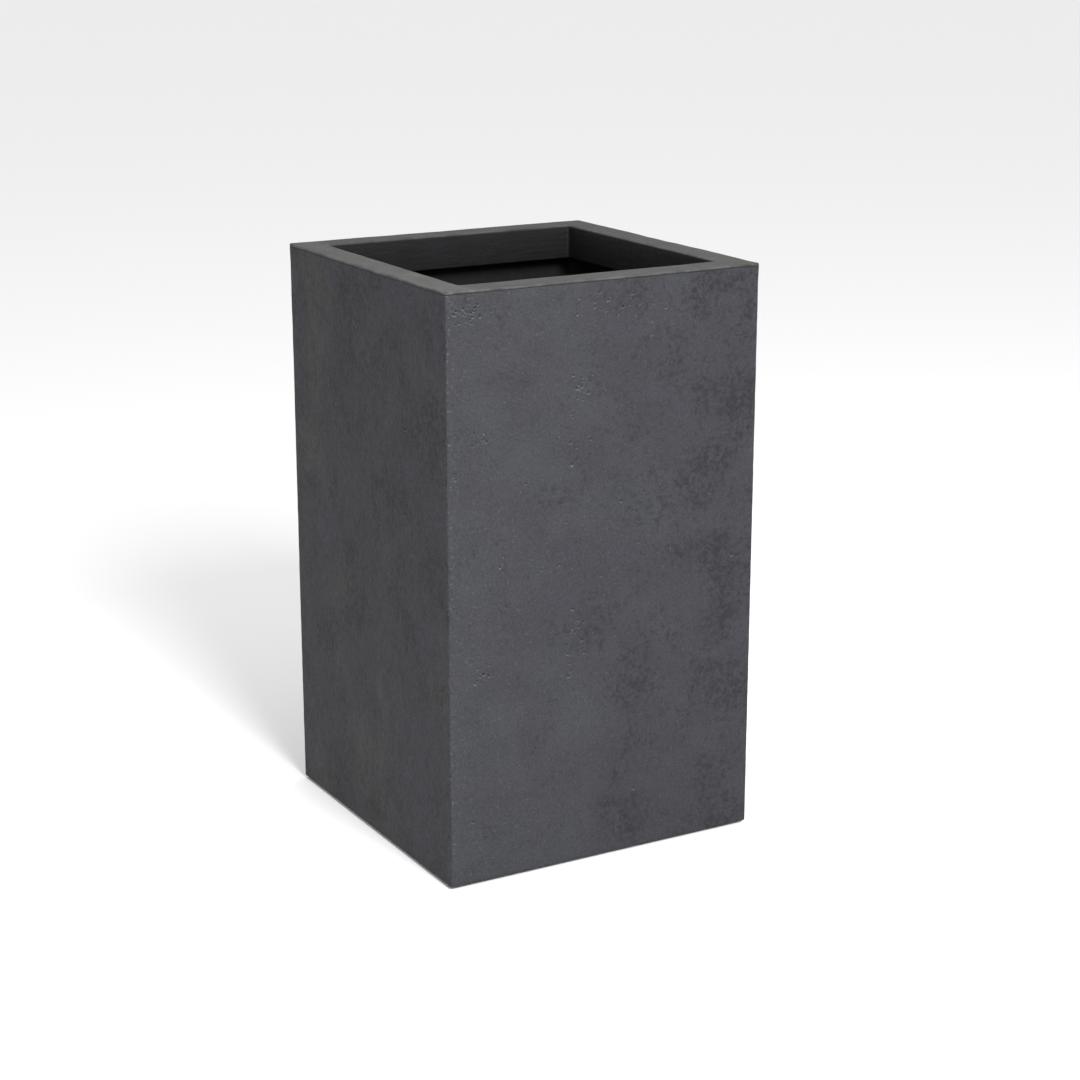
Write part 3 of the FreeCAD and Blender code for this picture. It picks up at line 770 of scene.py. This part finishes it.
def carvePits(bm):
    # finer faces round each pit, then the pit itself pressed in, with a slightly raised edge; its
    # points carry the share of painted shade and of painted highlight
    f = pitField
    pits = pitPlaces()
    for cuts, margin in f["refining"]:
        edges = list(bm.edges)
        middles = [(e.verts[0].co + e.verts[1].co) / 2 for e in edges]
        near = {e for e, pit in nearPits(edges, middles, pits, margin)
                if e.calc_length() > f["finestEdge"]}
        bmesh.ops.subdivide_edges(bm, edges=list(near), cuts=cuts, use_grid_fill=True)
    depthLayer = bm.verts.layers.float.new("pitDepth")
    edgeLayer = bm.verts.layers.float.new("pitEdge")
    twoLobes, threeLobes = f["lobes"]
    verts = list(bm.verts)
    places = [v.co.copy() for v in verts]
    for v, (place, radius, depth, turn) in nearPits(verts, places, pits, f["carveMargin"]):
        side = Vector((place.x, 0, 0)) if abs(place.x) > abs(place.y) else Vector((0, place.y, 0))
        side.normalize()
        flat = v.co - place
        flat -= side * flat.dot(side)
        angle = math.atan2(flat.z, flat.x + flat.y)
        lobed = radius * (1 + twoLobes * math.cos(2 * angle + turn)
                          + threeLobes * math.cos(3 * angle - turn))
        far = flat.length / lobed
        fall = max(0.0, 1 - far ** 2)
        lift = max(0.0, 1 - abs(far - f["edgePlace"]) / f["edgeWidth"]) * f["edgeHeight"]
        # only the lower side of the edge gets the painted highlight, as if lit from above
        lower = max(0.0, -flat.z / (flat.length + 1e-9))
        v.co += side * depth * (lift - fall)
        v[depthLayer] = max(v[depthLayer], fall)
        v[edgeLayer] = max(v[edgeLayer], lift * f["edgeHighlightGain"] * lower)


def makeWallShell():
    w = wallShell
    bm = bmesh.new()
    chamfer = w["bottomChamfer"]
    rings = [(w["outside"] - 2 * chamfer, w["edgeRadius"] - chamfer, w["bottom"]),
             (w["outside"], w["edgeRadius"], w["bottom"] + chamfer)]
    for turn in arcTurns(90, 4):
        inset = w["topRadius"] * (1 - math.cos(turn))
        rings.append((w["outside"] - 2 * inset, w["edgeRadius"] - inset,
                      w["top"] - w["topRadius"] * (1 - math.sin(turn))))
    rings.append((w["inside"], w["insideRadius"], w["top"]))
    rings.append((w["inside"], w["insideRadius"], w["bottom"]))
    loft(bm, rings, w["arcSteps"], w["runSteps"])
    halfHeight = (w["top"] - w["bottom"]) / 2 * mm
    tall = [e for e in bm.edges if abs(e.verts[0].co.z - e.verts[1].co.z) > halfHeight]
    reach = (w["inside"] + 1) / 2 * mm          # points farther out are on the outside
    outer = [e for e in tall if max(abs(e.verts[0].co.x), abs(e.verts[0].co.y)) > reach]
    inner = [e for e in tall if max(abs(e.verts[0].co.x), abs(e.verts[0].co.y)) <= reach]
    bmesh.ops.subdivide_edges(bm, edges=outer, cuts=w["rows"] - 1, use_grid_fill=True)
    bmesh.ops.subdivide_edges(bm, edges=inner, cuts=w["innerRows"] - 1, use_grid_fill=True)
    carvePits(bm)
    for v in bm.verts:
        if max(abs(v.co.x), abs(v.co.y)) > reach and v.co.z < (w["top"] - w["evenTop"]) * mm:
            way = planNormal(v.co, w["outside"] * mm, w["edgeRadius"] * mm)
            wave = (noise.noise(v.co * (1000 / w["waveLength"])) - 1) / 2 * w["waveHeight"]
            wave += (noise.noise(v.co * (1000 / w["rippleLength"])) - 1) / 2 * w["rippleHeight"]
            tip = min(abs(v.co.x), abs(v.co.y)) / mm - w["outside"] / 2 + w["chipWidth"]
            if tip > 0:
                chip = noise.noise(v.co * (1000 / w["chipLength"]) + Vector(w["chipShift"]))
                wave -= max(0.0, chip) * w["chipDepth"] * min(1.0, tip / w["chipWidth"])
            ends = min(1.0, (w["top"] * mm - v.co.z) / (w["fade"] * mm))
            v.co += way * wave * ends * mm
    for f in bm.faces:
        centre = f.calc_center_median()
        f.material_index = 1 if max(abs(centre.x), abs(centre.y)) < reach else 0
    piece = finishPiece(bm, "wallShell", shellMaterial, "planter", ["side_walls"])
    piece.data.materials.append(laminateMaterial)
    return piece


makeWallShell()


rimCap = {
    "outside": 360.0,               # mm, and so are the sizes below
    "cornerRadius": 3.0,
    "mouth": 296.0,
    "mouthRadius": 2.0,
    "top": 610.0,
    "flange": 3.0,
    "outerArris": 1.6,
    "mouthArris": 2.6,
    "lipDepth": 37.0,
    "lipWall": 4.0,
    "lipEdge": 1.6,
    "legOutside": 350.4,
    "legRadius": 19.7,
    "legWall": 3.0,
    "legDepth": 20.0,
    "arcSteps": 8,
    "runSteps": 60,
    "swell": 0.5,                   # unevenness of a laid-up flange, only downwards
    "swellLength": 30.0,
    "fray": 0.55,                   # wear of its outer arris
    "frayLength": 28.0,
    "fineFray": 0.35,               # share of a second wear
    "frayFiner": 2.6,               # which is this many times finer
    "frayDrop": 0.5,                # of the wear, also lowers the top
}


def makeRimCap():
    r = rimCap
    under = r["top"] - r["flange"]
    foot = r["top"] - r["lipDepth"]
    rings = [(r["outside"], r["cornerRadius"], under)]
    for turn in arcTurns(90, 4):
        inset = r["outerArris"] * (1 - math.cos(turn))
        rings.append((r["outside"] - 2 * inset, r["cornerRadius"] - inset,
                      r["top"] - r["outerArris"] * (1 - math.sin(turn))))
    for part in (0.25, 0.5, 0.75):
        across = part * (r["outside"] - r["mouth"]) / 2
        rings.append((r["outside"] - 2 * across, r["mouthRadius"] + r["mouthArris"], r["top"]))
    for turn in arcTurns(90, 6):
        out = r["mouthArris"] * (1 - math.sin(turn))
        rings.append((r["mouth"] + 2 * out, r["mouthRadius"] + out,
                      r["top"] - r["mouthArris"] * (1 - math.cos(turn))))
    for turn in arcTurns(90, 4):
        out = r["lipEdge"] * (1 - math.cos(turn))
        rings.append((r["mouth"] + 2 * out, r["mouthRadius"] + out,
                      foot + r["lipEdge"] * (1 - math.sin(turn))))
    for turn in arcTurns(90, 4):
        out = r["lipWall"] - r["lipEdge"] * (1 - math.sin(turn))
        rings.append((r["mouth"] + 2 * out, r["mouthRadius"] + out,
                      foot + r["lipEdge"] * (1 - math.cos(turn))))
    back = r["mouth"] + 2 * r["lipWall"]
    legInside = r["legOutside"] - 2 * r["legWall"]
    rings.append((back, r["mouthRadius"] + r["lipWall"], under))
    rings.append((legInside, r["legRadius"] - r["legWall"], under))
    rings.append((legInside, r["legRadius"] - r["legWall"], r["top"] - r["legDepth"]))
    rings.append((r["legOutside"], r["legRadius"], r["top"] - r["legDepth"]))
    rings.append((r["legOutside"], r["legRadius"], under))
    bm = bmesh.new()
    loft(bm, rings, r["arcSteps"], r["runSteps"])
    for v in bm.verts:
        if v.co.z < (under + 0.1) * mm:
            continue
        reach = max(abs(v.co.x), abs(v.co.y)) / mm
        swell = (noise.noise(v.co * (1000 / r["swellLength"])) - 1) / 2 * r["swell"]
        finer = v.co * (1000 * r["frayFiner"] / r["frayLength"])
        chip = noise.noise(v.co * (1000 / r["frayLength"])) + r["fineFray"] * noise.noise(finer)
        chip = max(0.0, chip) * r["fray"]
        if reach > r["outside"] / 2 - 2 * r["outerArris"]:
            v.co -= planNormal(v.co, r["outside"] * mm, r["cornerRadius"] * mm) * chip * mm
            swell -= chip * r["frayDrop"]
        v.co.z += swell * mm
    return finishPiece(bm, "rimCap", rimMaterial, "planter", ["rim_frame"])


makeRimCap()


slotBead = {
    "place": 85.0,                  # mm, each hand slot's middle from the planter's middle
    "slotWidth": 28.0,
    "slotLength": 72.0,
    "floorTop": 310.0,
    "gap": 1.2,                     # slot's edge to the bead
    "width": 3.2,
    "height": 1.2,
    "sunk": 0.4,
    "steps": 48,
}


def makeSlotBeads():
    b = slotBead
    straight = (b["slotLength"] - b["slotWidth"]) / 2 * mm
    profile = [(b["gap"], -b["sunk"])]
    for turn in arcTurns(180, 6):
        profile.append((b["gap"] + b["width"] / 2 * (1 - math.cos(turn)),
                        b["height"] * math.sin(turn)))
    profile.append((b["gap"] + b["width"], -b["sunk"]))
    bm = bmesh.new()
    for place in (-b["place"] * mm, b["place"] * mm):
        made = bmesh.ops.create_circle(bm, segments=b["steps"], radius=b["slotWidth"] / 2 * mm)
        ring = made["verts"]
        edges = list({e for v in ring for e in v.link_edges})
        for v in ring:
            v.co += Vector((place, straight if v.co.y > -1e-6 else -straight, 0))
        for number, (out, level) in enumerate(profile + profile[:1]):
            if number > 0:
                made = bmesh.ops.extrude_edge_only(bm, edges=edges)["geom"]
                ring = [g for g in made if isinstance(g, bmesh.types.BMVert)]
                edges = [g for g in made
                         if isinstance(g, bmesh.types.BMEdge) and set(ring).issuperset(g.verts)]
            for v in ring:
                hub = Vector((place, straight if v.co.y > 0 else -straight, v.co.z))
                v.co = hub + (v.co - hub).normalized() * (b["slotWidth"] / 2 + out) * mm
                v.co.z = (b["floorTop"] + level) * mm
    bmesh.ops.remove_doubles(bm, verts=bm.verts, dist=weldDistance)
    bmesh.ops.recalc_face_normals(bm, faces=bm.faces)
    return finishPiece(bm, "slotBeads", floorMaterial, "lift_out_floor", [])


makeSlotBeads()

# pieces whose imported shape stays

finishes = {
    laminateMaterial: ["floor_tray", "ledge_front", "ledge_right", "ledge_back", "ledge_left"],
    makeBirchPly(): ["foot_blocks"],
    makeMoulding("mouldedRubber"): ["foot_pads"],
    makeSteel(): ["foot_screws"],
    makeMoulding("blackPolypropylene"): ["drain_socket", "drain_nut", "drain_plug"],
    makeMoulding("sealingRubber"): ["drain_gasket", "plug_ring"],
    floorMaterial: ["false_floor"],
}
for material, nodes in finishes.items():
    for node in nodes:
        dress(node, material)
print("packed pieces dressed")
